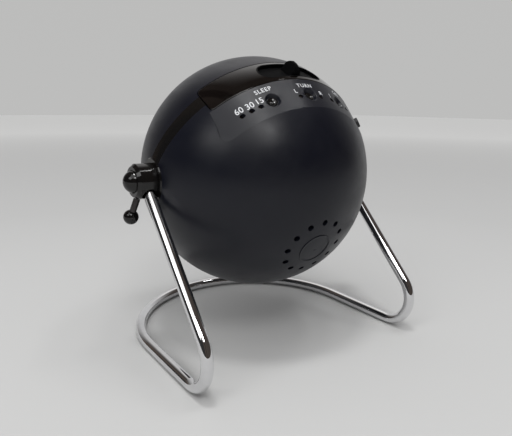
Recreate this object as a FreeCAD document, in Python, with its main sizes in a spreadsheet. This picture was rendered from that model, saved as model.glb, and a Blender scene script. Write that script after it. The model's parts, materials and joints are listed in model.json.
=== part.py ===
import FreeCAD, Part
import math
import os
import re

import Sketcher

# A tabletop home planetarium.  A globe with a projection lens turns about a
# horizontal axis between the two arms of one bent chrome rod.
#
# World frame: +Z up, the base rests on Z = 0, +X along the pivot axis, the
# lens looks towards +Y and the controls face -Y.
# Globe frame: origin in the middle of the globe, X along the pivot axis,
# Z along the lens axis, -Y towards the disc door and the control panel.

Vector = FreeCAD.Vector
doc = FreeCAD.newDocument("home_planetarium")
sheet = doc.addObject("Spreadsheet::Sheet", "Dims")

# ---------------------------------------------------------------- sizes, mm

SIZES = {
    # globe
    "ball_radius": 65.0,
    "shell_wall": 3.0,
    "lens_tilt": 31.0,
    "band_front": 5.9,
    "band_rear": 1.9,
    "band_lip": 3.0,
    "band_lip_wall": 1.4,
    "slip": 0.1,
    "running": 0.3,
    # stand
    "pivot_height": 93.8,
    "rod_radius": 3.0,
    "arm_wall": 0.41,
    "leg_step": 0.9,
    "arm_lean": 43.65,
    "bend_radius": 16.7,
    "rear_arc_offset": 1.4,
    "arm_end_gap": 5.4,
    # hubs
    "hub_radius": 9.1,
    "cap_seat": 1.85,
    "hub_gap": 0.2,
    "hub_chamfer": 1.6,
    "hub_chamfer_depth": 1.4,
    "hub_mouth_radius": 4.0,
    "hub_mouth_depth": 2.0,
    "hub_web": 2.3,
    "socket_slip": 0.05,
    "shaft_radius": 3.0,
    "shaft_slip": 0.08,
    "clamp_radius": 4.8,
    "clamp_width": 4.8,
    "washer_thickness": 0.95,
    "cap_radius": 5.95,
    "cap_height": 4.95,
    "cap_wall": 0.8,
    "cap_skirt": 1.3,
    "flange_radius": 11.7,
    "flange_thickness": 1.55,
    "flange_edge": 0.5,
    "flange_sink": 1.0,
    "plug_radius": 8.0,
    "plug_length": 9.0,
    "pivot_screw_radius": 1.25,
    "pivot_screw_length": 7.5,
    "pivot_head_radius": 2.6,
    "pivot_head_height": 1.7,
    "pivot_washer_radius": 4.9,
    "pivot_washer_thickness": 0.7,
    # lock lever
    "lever_rest": 20.0,
    "lever_travel": 35.0,
    "lever_splay": 12.0,
    "lever_clearance": 0.15,
    "lever_reach": 21.3,
    "lever_rod_radius": 1.75,
    "lever_ball_radius": 4.0,
    "lever_slot_margin": 20.0,
    # disc door and its grip
    "door_half_angle": 45.0,
    "door_front": 10.4,
    "door_rear": 7.3,
    "door_gap": 0.3,
    "door_corner": 2.2,
    "door_edge": 0.5,
    "grip_length": 39.0,
    "grip_width": 13.3,
    "grip_middle": 1.65,
    "grip_rim": 0.8,
    "grip_depth": 1.7,
    "grip_floor": 1.2,
    "ridge_middle": 1.0,
    "ridge_height": 4.0,
    "ridge_foot": 3.7,
    "ridge_crest": 0.9,
    "ridge_length": 8.6,
    "ridge_arch": 5.0,
    # star disc and its tray
    "tray_rim": 3.1,
    "tray_shoulder": 20.0,
    "tray_bottom": 2.2,
    "tray_top": 2.6,
    "tray_floor": 1.5,
    "tray_ledge": 5.0,
    "disc_seat_slip": 0.4,
    "disc_radius": 36.0,
    "disc_frame_width": 4.5,
    "disc_frame_height": 1.6,
    "disc_film": 0.8,
    "tray_notch": 16.0,
    "rail_width": 4.0,
    "rail_step": 3.5,
    "rail_height": 3.2,
    "rail_front": 33.0,
    "rail_rear": 22.0,
    # drive
    "roller_radius": 4.0,
    "roller_tyre": 0.9,
    "roller_height": 3.2,
    "motor_radius": 8.0,
    "motor_length": 17.0,
    "motor_shaft_radius": 1.0,
    # control panel
    "panel_half_width": 46.5,
    "panel_corner": 5.0,
    "panel_top": 7.4,
    "panel_bottom": 25.6,
    "button_spacing": 21.2,
    "button_level": 17.6,
    "row_shift": 0.9,
    "light_level": 18.6,
    "button_radius": 2.5,
    "button_edge": 0.25,
    "dimple_radius": 1.85,
    "dimple_depth": 0.4,
    "button_slip": 0.15,
    "dish_radius": 3.9,
    "dish_floor_radius": 2.95,
    "dish_depth": 1.5,
    "dish_lip": 0.3,
    "button_sink": 1.2,
    "button_travel": 0.6,
    "button_collar": 0.7,
    "button_collar_wall": 0.8,
    "light_radius": 1.15,
    "light_slip": 0.1,
    "light_sink": 0.3,
    "direction_light_offset": 6.6,
    "power_light_middle": 22.5,
    "timer_light_first": 27.2,
    "timer_light_step": 4.35,
    "board_room": 13.8,
    "board_thickness": 1.2,
    "board_left": 37.4,
    "board_right": 32.0,
    "board_low": 9.2,
    "board_high": 4.5,
    "switch_side": 4.6,
    "switch_height": 2.0,
    "switch_plunger_radius": 1.1,
    "switch_plunger": 0.8,
    "board_post_radius": 2.2,
    "board_screw_margin": 3.6,
    # power inlet
    "inlet_turn": 42.5,
    "inlet_latitude": 17.0,
    "inlet_radius": 2.8,
    "inlet_flange_radius": 3.6,
    "inlet_proud": 1.0,
    "inlet_length": 11.0,
    "inlet_bore": 1.8,
    "inlet_bore_depth": 9.0,
    "inlet_pin_radius": 0.55,
    # rear of the globe
    "vent_count": 12,
    "vent_angle": 14.73,
    "vent_radius": 1.6,
    "badge_radius": 9.2,
    "badge_sink": 0.9,
    "badge_ring": 0.25,
    "badge_ring_width": 0.7,
    # chassis
    "chassis_room": 7.0,
    "chassis_bottom": 5.5,
    "chassis_thickness": 2.0,
    "window_room": 12.0,
    "bearing_width": 22.0,
    "bearing_depth": 7.0,
    "case_post_x": 16.0,
    "case_post_room": 14.5,
    "post_radius": 4.2,
    "chassis_post_x": 47.0,
    "chassis_post_y": 19.0,
    "chassis_post_radius": 3.2,
    "case_screw_radius": 1.5,
    "case_head_radius": 2.7,
    "case_head_height": 2.0,
    "case_screw_reach": 12.0,
    "case_head_place": 24.0,
    "case_bore_slip": 0.3,
    "small_screw_radius": 1.1,
    "small_head_radius": 2.1,
    "small_head_height": 1.2,
    "small_screw_length": 6.0,
    # lamp
    "lamp_room": 18.0,
    "lamp_wall": 1.6,
    "lamp_flange_room": 8.0,
    "lamp_flange_thickness": 2.0,
    "lamp_bottom": 33.0,
    "condenser_seat": 20.0,
    "condenser_ledge": 1.6,
    "condenser_edge": 3.0,
    "condenser_rise": 6.5,
    "led_board_room": 4.0,
    "led_board_thickness": 1.5,
    "led_radius": 3.0,
    "led_height": 2.4,
    "sink_overhang": 0.4,
    "sink_plate": 3.0,
    "sink_fin": 9.0,
    "sink_fin_thickness": 1.4,
    "sink_fin_step": 4.6,
    "sink_fin_count": 7,
    # lens
    "opening_radius": 26.7,
    "trim_radius": 30.0,
    "trim_sink": 7.8,
    "trim_rise": 0.7,
    "boss_radius": 32.0,
    "boss_drop": 0.6,
    "barrel_radius": 20.0,
    "barrel_wall": 1.7,
    "barrel_bottom": 14.0,
    "barrel_sink": 6.0,
    "barrel_lip": 1.5,
    "barrel_lip_height": 2.8,
    "sleeve_wall": 1.5,
    "sleeve_bottom": 24.0,
    "sleeve_sink": 7.6,
    "mount_clear": 0.66,
    "mount_sink": 25.0,
    "mount_thickness": 3.0,
    "mount_screw_edge": 5.0,
    "mount_post_radius": 3.2,
    "focus_outer": 26.2,
    "focus_sink": 3.0,
    "focus_flute_radius": 0.8,
    "focus_flute_count": 36,
    "glass_slip": 0.1,
    "lens_relief": 0.6,
    "rear_lens_edge": 3.0,
    "rear_lens_rise": 3.0,
    "middle_lens_place": 36.0,
    "middle_lens_edge": 3.0,
    "middle_lens_rise": 2.5,
    "front_lens_sink": 7.6,
    "front_lens_edge": 3.1,
    "front_lens_rise": 4.0,
    "front_lens_back": 1.5,
    "spacer_wall": 1.2,
    "retainer_wall": 1.3,
    "retainer_height": 2.3,
}

WORKED_OUT = {
    "cavity_radius": "ball_radius - shell_wall",
    # stand: how far it reaches in front of and behind the pivot
    "arm_top_spread": "hub_inner + rod_radius + arm_wall",
    "leg_spread": "arm_top_spread + leg_step",
    "corner_run": "(pivot_height - rod_radius) * tan(arm_lean)",
    "bend_run": "bend_radius / tan((90 - arm_lean) / 2)",
    "front_reach": "corner_run - bend_run + bend_radius + rod_radius",
    "rear_reach": "leg_spread - rear_arc_offset + rod_radius",
    "pivot_y": "(front_reach - rear_reach) / 2",
    # hub, measured outwards from the middle of the globe
    "flange_seat": "sqrt(ball_radius^2 - flange_radius^2) - flange_sink",
    "flange_face": "flange_seat + flange_thickness",
    "hub_inner": "flange_face + hub_gap",
    "shaft_bore": "shaft_radius + shaft_slip",
    "web_face": "hub_inner + hub_web",
    "clamp_inner": "web_face + washer_thickness + slip",
    "clamp_outer": "clamp_inner + clamp_width",
    "hub_ledge": "clamp_outer + slip",
    "hub_outer": "hub_ledge + cap_seat",
    "shaft_end": "hub_ledge + socket_slip",
    "clamp_bore": "clamp_radius + 2 * slip",
    "cap_bore": "cap_radius + slip",
    "cap_base": "hub_outer - running",
    "cap_curve": "(cap_radius^2 + cap_height^2) / (2 * cap_height)",
    "cap_room": "cap_radius - cap_wall",
    "cap_room_height": "cap_height - cap_wall",
    "cap_room_curve": "(cap_room^2 + cap_room_height^2) / (2 * cap_room_height)",
    "plug_inner": "flange_seat - plug_length",
    "lever_root": "(shaft_bore + clamp_radius) / 2",
    "lever_start": "clamp_inner + lever_rod_radius / cos(lever_splay) + lever_clearance"
                   " - lever_root * sin(lever_splay)",
    # disc
    "tray_half_width": "disc_radius + disc_seat_slip + tray_rim",
    "tray_window": "disc_radius - tray_ledge",
    "disc_bottom": "tray_floor - tray_bottom + slip",
    "tray_tail": "tray_half_width - tray_shoulder",
    "tray_tail_curve": "(tray_half_width^2 + tray_tail^2) / (2 * tray_tail)",
    "roller_place": "disc_radius + running + roller_radius",
    # lamp, which lights the disc through the chassis
    "chassis_window": "disc_radius - window_room",
    "lamp_inner": "disc_radius - lamp_room",
    "lamp_flange": "disc_radius - lamp_flange_room",
    "led_board_radius": "lamp_inner - led_board_room",
    "sink_radius": "lamp_inner + lamp_wall + sink_overhang",
    "chassis_radius": "cavity_radius - chassis_room",
    "case_post_y": "cavity_radius - case_post_room",
    "chassis_top": "chassis_thickness - chassis_bottom",
    "bearing_outer": "plug_inner + bearing_depth / 2",
    # lens
    "trim_seat": "ball_radius - trim_sink",
    "boss_bottom": "sqrt(cavity_radius^2 - boss_radius^2) - boss_drop",
    "barrel_top": "ball_radius - barrel_sink",
    "sleeve_top": "ball_radius - sleeve_sink",
    "focus_top": "ball_radius - focus_sink",
    "front_lens_place": "barrel_top - front_lens_sink",
    "mount_radius": "sqrt(cavity_radius^2 - mount_top^2) - mount_clear",
    "mount_screw_place": "mount_radius - mount_screw_edge",
    "glass_radius": "barrel_radius - barrel_wall - glass_slip",
    "sleeve_inner": "barrel_radius + running",
    "sleeve_outer": "sleeve_inner + sleeve_wall",
    "focus_inner": "sleeve_outer + running",
    "mount_height": "ball_radius - mount_sink",
    "mount_top": "mount_height + mount_thickness",
    "rear_lens_place": "barrel_bottom + barrel_lip_height",
}


def expand(text):
    """An expression in plain names, written so that it reads the sheet."""
    def known(match):
        word = match.group(0)
        if word in WORKED_OUT:
            return "(" + expand(WORKED_OUT[word]) + ")"
        if word in SIZES:
            return "Dims." + word
        return word
    return re.sub(r"[A-Za-z_][A-Za-z_0-9]*", known, str(text))


for row, (word, number) in enumerate(SIZES.items(), 1):
    sheet.set("A%d" % row, word)
    sheet.set("B%d" % row, str(number))
    sheet.setAlias("B%d" % row, word)
doc.recompute()


def value(text):
    return float(sheet.evalExpression(expand(text)))


def bind(thing, field, text):
    thing.setExpression(field, expand(text))


# ------------------------------------------------------- building functions

def put(thing, at=None, turn=None):
    """Place a piece; turn is (axis, angle), and both are kept by the sheet."""
    if turn:
        axis, angle = turn
        thing.Placement = FreeCAD.Placement(Vector(), FreeCAD.Rotation(Vector(*axis), 90))
        bind(thing, "Placement.Rotation.Angle", angle)
    for letter, text in zip("xyz", at or ()):
        bind(thing, "Placement.Base." + letter, text)
    return thing


def cylinder(name, radius, height, at=None, turn=None, sweep=None):
    thing = doc.addObject("Part::Cylinder", name)
    bind(thing, "Radius", radius)
    bind(thing, "Height", height)
    if sweep:
        bind(thing, "Angle", sweep)
    return put(thing, at, turn)


def cone(name, low_radius, high_radius, height, at=None, turn=None):
    thing = doc.addObject("Part::Cone", name)
    bind(thing, "Radius1", low_radius)
    bind(thing, "Radius2", high_radius)
    bind(thing, "Height", height)
    return put(thing, at, turn)


def block(name, low, high, turn=None):
    thing = doc.addObject("Part::Box", name)
    for field, start, end in zip(("Length", "Width", "Height"), low, high):
        bind(thing, field, "(%s) - (%s)" % (end, start))
    return put(thing, low, turn)


def ball(name, radius):
    thing = doc.addObject("Part::Sphere", name)
    bind(thing, "Radius", radius)
    return thing


def joined(name, pieces):
    thing = doc.addObject("Part::MultiFuse", name)
    thing.Shapes = pieces
    return thing


def shared(name, pieces):
    thing = doc.addObject("Part::MultiCommon", name)
    thing.Shapes = pieces
    return thing


def group(name, pieces):
    thing = doc.addObject("Part::Compound", name)
    thing.Links = pieces
    return thing


def less(name, base, tools):
    thing = doc.addObject("Part::Cut", name)
    thing.Base = base
    thing.Tool = tools[0] if len(tools) == 1 else joined(name + "_cuts", tools)
    return thing


def outline_sketch(body, role, outline):
    """A closed sketch, run anticlockwise.  Each corner is (across, up), or
    (across, up, radius, side) where an arc leads to the next corner: side 1
    bulges away from the material and side -1 into it."""
    sketch = body.newObject("Sketcher::SketchObject", body.Name + "_outline")
    plane = [part for part in body.Origin.OriginFeatures if part.Role == role][0]
    sketch.AttachmentSupport = [(plane, "")]
    sketch.MapMode = "FlatFace"
    points = [Vector(value(corner[0]), value(corner[1]), 0) for corner in outline]
    first_end = []
    for number, corner in enumerate(outline):
        start = points[number]
        end = points[(number + 1) % len(points)]
        if len(corner) == 2:
            sketch.addGeometry(Part.LineSegment(start, end), False)
            first_end.append(1)
            continue
        radius = value(corner[2])
        along = end - start
        outwards = Vector(along.y, -along.x, 0).normalize() * corner[3]
        half = along.Length / 2
        rise = radius - math.sqrt(max(radius * radius - half * half, 0))
        top = (start + end) * 0.5 + outwards * rise
        if corner[3] > 0:
            sketch.addGeometry(Part.Arc(start, top, end), False)
            first_end.append(1)
        else:
            sketch.addGeometry(Part.Arc(end, top, start), False)
            first_end.append(2)
    for number in range(len(outline)):
        following = (number + 1) % len(outline)
        sketch.addConstraint(Sketcher.Constraint(
            "Coincident", number, 3 - first_end[number], following, first_end[following]))
    for number, corner in enumerate(outline):
        held = [("DistanceX", corner[0], points[number].x), ("DistanceY", corner[1], points[number].y)]
        for kind, text, number_now in held:
            index = sketch.addConstraint(Sketcher.Constraint(
                kind, -1, 1, number, first_end[number], number_now))
            bind(sketch, "Constraints[%d]" % index, text)
        if len(corner) == 4:
            index = sketch.addConstraint(Sketcher.Constraint("Radius", number, value(corner[2])))
            bind(sketch, "Constraints[%d]" % index, corner[2])
    return sketch


def turned(name, outline, sweep=None):
    """A body turned about Z from (radius, height) corners, all the way round
    or over a sector that is centred on +X."""
    body = doc.addObject("PartDesign::Body", name)
    sketch = outline_sketch(body, "XZ_Plane", outline)
    turn = body.newObject("PartDesign::Revolution", name + "_turn")
    turn.Profile = sketch
    turn.ReferenceAxis = (sketch, ["V_Axis"])
    if sweep:
        bind(turn, "Angle", sweep)
        turn.Midplane = True
    else:
        turn.Angle = 360
    return body


def padded(name, outline, height, role="XY_Plane", back=False):
    """A body padded from an outline, away from the plane's own side if back."""
    body = doc.addObject("PartDesign::Body", name)
    sketch = outline_sketch(body, role, outline)
    pad = body.newObject("PartDesign::Pad", name + "_pad")
    pad.Profile = sketch
    bind(pad, "Length", height)
    pad.Reversed = back
    return body


def tube(inner, outer, low, high):
    return [(inner, low), (outer, low), (outer, high), (inner, high)]


nodes = []


def node(name, thing, at=None, turn=None):
    """Give a finished piece its name, and its place where that is not set."""
    thing.Label = name
    if at:
        put(thing, at, turn)
    nodes.append(thing)
    return thing


def in_globe(name, thing, at=("0", "0", "0"), pitch="0"):
    """Place a piece by its point in the globe frame, pitched about X."""
    across, deep, high = at
    world = (
        across,
        "pivot_y + (%s) * sin(lens_tilt) + (%s) * cos(lens_tilt)" % (deep, high),
        "pivot_height - (%s) * cos(lens_tilt) + (%s) * sin(lens_tilt)" % (deep, high),
    )
    return node(name, thing, world, ((-1, 0, 0), "90 - lens_tilt + (%s)" % pitch))


SIDES = {"left": -1, "right": 1}


def on_pivot(name, thing, side):
    """Lay a piece made about Z along the pivot, pointing out on its side."""
    return node(name, thing, ("0", "pivot_y", "pivot_height"), ((0, side, 0), "90"))


def aimed(thing, start, direction):
    """Point a piece made about Z along a worked-out direction."""
    thing.Placement = FreeCAD.Placement(start, FreeCAD.Rotation(Vector(0, 0, 1), direction))
    return thing


def globe_place():
    """Where the globe frame lies in the world."""
    return FreeCAD.Placement(
        Vector(0, value("pivot_y"), value("pivot_height")),
        FreeCAD.Rotation(Vector(-1, 0, 0), value("90 - lens_tilt")))


# -------------------------------------------------------------------- stand

def arm_direction():
    """From the pivot down along the right arm to the front corner."""
    return Vector(
        value("leg_spread - arm_top_spread"),
        -value("corner_run"),
        value("rod_radius - pivot_height"))


def stand_path():
    """One side of the rod from its hub to the middle of the rear arc."""
    low = value("rod_radius")
    spread = value("leg_spread")
    pivot = Vector(value("arm_top_spread"), value("pivot_y"), value("pivot_height"))
    corner = pivot + arm_direction()
    start = pivot + arm_direction().normalize() * value("arm_end_gap")
    up_arm = arm_direction().normalize() * -1
    along_leg = Vector(0, 1, 0)
    half_angle = up_arm.getAngle(along_leg) / 2
    radius = value("bend_radius")
    run = radius / math.tan(half_angle)
    middle = (up_arm + along_leg).normalize()
    bend_centre = corner + middle * (radius / math.sin(half_angle))
    arc_centre = value("pivot_y - rear_arc_offset")
    leg_end = Vector(spread, arc_centre, low)
    rear = Vector(0, arc_centre + spread, low)
    right = [
        Part.LineSegment(start, corner + up_arm * run).toShape(),
        Part.Arc(corner + up_arm * run, bend_centre - middle * radius, corner + along_leg * run).toShape(),
        Part.LineSegment(corner + along_leg * run, leg_end).toShape(),
    ]
    arc = Part.Arc(leg_end, rear, Vector(-spread, arc_centre, low)).toShape()
    left = [edge.mirror(Vector(), Vector(1, 0, 0)) for edge in reversed(right)]
    path = doc.addObject("Part::Feature", "stand_path")
    path.Shape = Part.Wire(Part.__sortEdges__(right + [arc] + left))
    return path, start


def make_wire_stand():
    path, start = stand_path()
    section = doc.addObject("Part::Circle", "rod_section")
    bind(section, "Radius", "rod_radius")
    aimed(section, start, arm_direction())
    rod = doc.addObject("Part::Sweep", "rod_sweep")
    rod.Sections = [section]
    rod.Spine = (path, ["Edge%d" % (number + 1) for number in range(len(path.Shape.Edges))])
    rod.Solid = True
    rod.Frenet = False
    node("wire_stand", rod)


# --------------------------------------------------------------------- hubs

def arm_tool(name, side, radius, start):
    """A round cut along the arm in a hub's own frame."""
    arm = arm_direction().normalize()
    direction = Vector(-side * arm.z, arm.y, arm.x)
    tool = cylinder(name, radius, "2 * hub_radius")
    root = Vector(0, 0, value("arm_top_spread"))
    return aimed(tool, root + direction * value(start), direction)


def make_hub(word, side):
    body = turned(word + "_hub_turned", [
        ("shaft_bore", "hub_inner"),
        ("hub_radius", "hub_inner"),
        ("hub_radius", "hub_outer - hub_chamfer"),
        ("hub_radius - hub_chamfer_depth", "hub_outer"),
        ("cap_bore", "hub_outer"),
        ("cap_bore", "hub_ledge"),
        ("clamp_bore", "hub_ledge"),
        ("clamp_bore", "web_face"),
        ("shaft_bore", "web_face"),
    ])
    cuts = [
        arm_tool(word + "_arm_socket", side, "rod_radius + socket_slip", "arm_end_gap - slip"),
        arm_tool(word + "_arm_mouth", side, "hub_mouth_radius", "hub_radius - hub_mouth_depth"),
    ]
    if side == SIDES["left"]:
        # the lever swings in a slot from straight down towards the lens side
        low_edge = "180 - lever_rest - lever_travel - lever_slot_margin"
        cuts.append(cylinder(
            "lever_slot", "2 * hub_radius", "clamp_width + 2 * slip", ("0", "0", "clamp_inner - slip"),
            ((0, 0, 1), low_edge), "lever_travel + 2 * lever_slot_margin"))
    on_pivot(word + "_hub_housing", less(word + "_hub", body, cuts), side)


def make_hub_cap(word, side):
    cap = turned(word + "_cap_turned", [
        ("cap_room", "cap_base - cap_skirt"),
        ("cap_radius", "cap_base - cap_skirt"),
        ("cap_radius", "cap_base", "cap_curve", 1),
        ("0", "cap_base + cap_height"),
        ("0", "cap_base + cap_room_height", "cap_room_curve", -1),
        ("cap_room", "cap_base"),
    ])
    on_pivot(word + "_hub_cap", cap, side)


def make_pivot_flange(word, side):
    flange = turned(word + "_flange_turned", [
        ("0", "plug_inner"),
        ("plug_radius", "plug_inner"),
        ("plug_radius", "flange_seat"),
        ("flange_radius", "flange_seat"),
        ("flange_radius", "flange_face - flange_edge"),
        ("flange_radius - flange_edge", "flange_face"),
        ("shaft_radius", "flange_face"),
        ("shaft_radius", "shaft_end"),
        ("pivot_screw_radius", "shaft_end"),
        ("pivot_screw_radius", "shaft_end - pivot_screw_length"),
        ("0", "shaft_end - pivot_screw_length"),
    ])
    on_pivot(word + "_pivot_flange", flange, side)


def both_sides(name, outline):
    """Two like solids, one at each end of the pivot, in one node."""
    pieces = []
    for word, side in SIDES.items():
        piece = turned(word + "_" + name, outline)
        put(piece, None, ((0, side, 0), "90"))
        pieces.append(piece)
    return node(name, group(name, pieces), ("0", "pivot_y", "pivot_height"))


def make_pivot_fasteners():
    both_sides("friction_washers", tube(
        "shaft_bore", "clamp_radius", "web_face", "web_face + washer_thickness"))
    both_sides("pivot_washers", tube(
        "pivot_screw_radius + slip", "pivot_washer_radius",
        "shaft_end", "shaft_end + pivot_washer_thickness"))
    seat = "shaft_end + pivot_washer_thickness"
    both_sides("pivot_screws", [
        ("0", "shaft_end - pivot_screw_length"),
        ("pivot_screw_radius", "shaft_end - pivot_screw_length"),
        ("pivot_screw_radius", seat),
        ("pivot_head_radius", seat),
        ("pivot_head_radius", seat + " + pivot_head_height"),
        ("0", seat + " + pivot_head_height"),
    ])
    spacer = turned("pivot_spacer_turned", tube("shaft_bore", "clamp_radius", "clamp_inner", "clamp_outer"))
    on_pivot("pivot_spacer", spacer, SIDES["right"])


def lever_point(reach):
    """A point on the lever's middle line, in the left hub's own frame."""
    splay = math.radians(value("lever_splay"))
    turn = math.radians(value("lever_rest"))
    flat = reach * math.cos(splay)
    return Vector(
        -flat * math.cos(turn), flat * math.sin(turn), value("lever_start") + reach * math.sin(splay))


def lever_rod(name):
    """The lever's rod, and the hole of the same size that holds either end."""
    root = value("lever_root")
    tip = value("lever_reach")
    rod = cylinder(name, "lever_rod_radius", "lever_reach - lever_root - lever_ball_radius / 2")
    return aimed(rod, lever_point(root), lever_point(tip) - lever_point(root))


def make_lock_lever():
    side = SIDES["left"]
    ring = turned("lock_ring_turned", tube("shaft_bore", "clamp_radius", "clamp_inner", "clamp_outer"))
    on_pivot("lock_ring", less("lock_ring_drilled", ring, [lever_rod("ring_hole")]), side)
    on_pivot("lock_lever", group("lever_piece", [lever_rod("lever_rod")]), side)
    knob = ball("lever_ball", "lever_ball_radius")
    knob.Placement.Base = lever_point(value("lever_reach"))
    on_pivot("lock_lever_knob", less("lever_ball_drilled", knob, [lever_rod("ball_hole")]), side)


# ------------------------------------------------------------ globe, shells

def at_latitude(radius, level):
    """How far a ball's surface is from the lens axis at a given height."""
    return "sqrt((%s)^2 - (%s)^2)" % (radius, level)


def sector(name, outline, half_angle):
    """A turned sector centred on the door side of the globe."""
    body = turned(name, outline, "2 * (%s)" % half_angle)
    return put(body, None, ((0, 0, -1), "90"))


def rounded(body, word, radius, wanted):
    """Round the edges of a body's last feature that are wanted."""
    doc.recompute()
    base = body.Tip
    chosen = ["Edge%d" % number for number, edge in enumerate(base.Shape.Edges, 1) if wanted(edge)]
    fillet = body.newObject("PartDesign::Fillet", body.Name + word)
    fillet.Base = (base, chosen)
    bind(fillet, "Radius", radius)
    return body


def soften_corners(body, radius):
    """Round the corners of a sector, seen from outside the globe."""
    def corner(edge):
        return isinstance(edge.Curve, Part.Line) and abs(edge.Curve.Direction.z) < 1e-6
    return rounded(body, "_corners", radius, corner)


def soften_rim(body, radius):
    """Round the rim of a plate where it meets the globe's outer surface."""
    surface = value("ball_radius")

    def outside(edge):
        return all(abs(corner.Point.Length - surface) < 1e-3 for corner in edge.Vertexes)
    return rounded(body, "_rim", radius, outside)


def door_opening(name):
    reach = "ball_radius + shell_wall"
    room = "cavity_radius - 5 * shell_wall"
    body = sector(name, tube(room, reach, "-door_rear - door_gap", "door_front + door_gap"),
                  "door_half_angle + door_gap / ball_radius * 180 / pi")
    return soften_corners(body, "door_corner + door_gap")


def pivot_cuts(name):
    """The bores for both pivot plugs and the flat seats for both flanges."""
    half = "ball_radius + shell_wall"
    cuts = [cylinder(name + "_plug_bore", "plug_radius + slip", "2 * (%s)" % half,
                     ("-(%s)" % half, "0", "0"), ((0, 1, 0), "90"))]
    for word, side in SIDES.items():
        cuts.append(cylinder("%s_%s_flange_seat" % (name, word), "flange_radius + slip", "2 * shell_wall",
                             ("%d * flange_seat" % side, "0", "0"), ((0, side, 0), "90")))
    return cuts


def shell_posts(name, places, radius, low, high):
    """Round posts that run along the lens axis and end in the shell."""
    posts = [cylinder("%s_%d" % (name, number), radius, "(%s) - (%s)" % (high, low), (across, deep, low))
             for number, (across, deep) in enumerate(places)]
    limit = ball(name + "_limit", "cavity_radius + shell_wall / 4")
    return shared(name, [joined(name + "_all", posts), limit])


def mount_places():
    """The three screws that hold the lens mount, round the lens axis."""
    return [("mount_screw_place * cos(%d)" % angle, "mount_screw_place * sin(%d)" % angle)
            for angle in (90, 210, 330)]


CASE_PLACES = [("-case_post_x", "case_post_y"), ("case_post_x", "case_post_y")]
CHASSIS_PLACES = [("-chassis_post_x", "-chassis_post_y"), ("chassis_post_x", "-chassis_post_y")]


def screw_holes(name, places, radius, low, high):
    return [cylinder("%s_%d" % (name, number), radius, "(%s) - (%s)" % (high, low), (across, deep, low))
            for number, (across, deep) in enumerate(places)]


def make_front_shell():
    body = turned("front_shell_turned", [
        (at_latitude("cavity_radius", "band_front"), "band_front"),
        (at_latitude("ball_radius", "band_front"), "band_front", "ball_radius", 1),
        ("trim_radius + slip", at_latitude("ball_radius", "trim_radius + slip")),
        ("trim_radius + slip", "trim_seat"),
        ("opening_radius", "trim_seat"),
        ("opening_radius", "boss_bottom"),
        ("boss_radius", "boss_bottom"),
        ("boss_radius", at_latitude("cavity_radius", "boss_radius"), "cavity_radius", -1),
    ])
    posts = shell_posts("front_posts", CASE_PLACES, "post_radius", "chassis_top", "ball_radius")
    mounts = shell_posts("mount_posts", mount_places(), "mount_post_radius", "mount_top", "ball_radius")
    cuts = [door_opening("front_door_opening")] + pivot_cuts("front_pivot")
    cuts += screw_holes("front_case_hole", CASE_PLACES, "case_screw_radius",
                        "chassis_top", "case_screw_reach")
    cuts += screw_holes("front_mount_hole", mount_places(), "small_screw_radius",
                        "mount_top", "mount_height + small_screw_length")
    in_globe("front_shell", less("front_shell_cut", joined("front_shell_solid", [body, posts, mounts]), cuts))


def make_seam_band():
    lip_outer = "cavity_radius - 8 * slip"
    lip_inner = "cavity_radius - 8 * slip - band_lip_wall"
    body = turned("seam_band_turned", [
        (lip_inner, "-band_rear - band_lip"),
        (lip_outer, "-band_rear - band_lip"),
        (lip_outer, "-band_rear"),
        (at_latitude("ball_radius", "band_rear"), "-band_rear", "ball_radius", 1),
        (at_latitude("ball_radius", "band_front"), "band_front"),
        (lip_outer, "band_front"),
        (lip_outer, "band_front + band_lip"),
        (lip_inner, "band_front + band_lip"),
    ])
    cuts = [door_opening("band_door_opening")] + pivot_cuts("band_pivot")
    in_globe("seam_band", less("seam_band_cut", body, cuts))


# ------------------------------------------------------ rear shell, controls
#
# Panel frame: X along the pivot axis, Y up the panel towards the door, Z
# square to the middle of the panel and out of the globe.

WORKED_OUT.update({
    "panel_top_radius": at_latitude("ball_radius", "panel_top"),
    "panel_bottom_radius": at_latitude("ball_radius", "panel_bottom"),
    "panel_slope": "atan((panel_top_radius - panel_bottom_radius) / (panel_bottom - panel_top)) / (1 deg)",
    "badge_floor": at_latitude("ball_radius", "badge_radius") + " - badge_sink",
    "vent_place": "ball_radius * sin(vent_angle)",
    "inlet_top": "ball_radius + inlet_proud",
    "collar_radius": "button_radius + button_collar_wall",
    "dimple_curve": "(dimple_radius^2 + dimple_depth^2) / (2 * dimple_depth)",
    "board_distance": "cavity_radius - board_room",
    "plunger_top": "board_distance + switch_height + switch_plunger",
    "dish_level": "button_level - dish_depth * sin(panel_slope)",
    "dish_ring": "panel_top_radius - (button_level - panel_top) * tan(panel_slope)"
                 " - dish_depth * cos(panel_slope)",
})


def panel_depth(across, level):
    """How far the panel's surface lies from the pivot axis's upright plane."""
    radius = "(panel_top_radius - (%s - panel_top) * tan(panel_slope))" % level
    return "sqrt(%s^2 - (%s)^2)" % (radius, across)


def panel_height(across, level):
    """The panel surface's height in the panel frame."""
    return "%s * cos(panel_slope) + %s * sin(panel_slope)" % (panel_depth(across, level), level)


def panel_rise(across, level):
    """The same point's place up the panel, in the panel frame."""
    return "%s * sin(panel_slope) - %s * cos(panel_slope)" % (panel_depth(across, level), level)


def panel_point(across, up, out):
    """A point of the panel frame, in the globe frame."""
    return (across,
            "-((%s) * cos(panel_slope) + (%s) * sin(panel_slope))" % (out, up),
            "(%s) * cos(panel_slope) - (%s) * sin(panel_slope)" % (up, out))


PANEL_TURN = ((1, 0, 0), "90 + panel_slope")


def dish_point(across):
    """The middle of a button's dish, on the dish floor, in the globe frame."""
    reach = value("sqrt(dish_ring^2 - (%s)^2)" % across)
    return Vector(value(across), -reach, -value("dish_level"))


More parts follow.
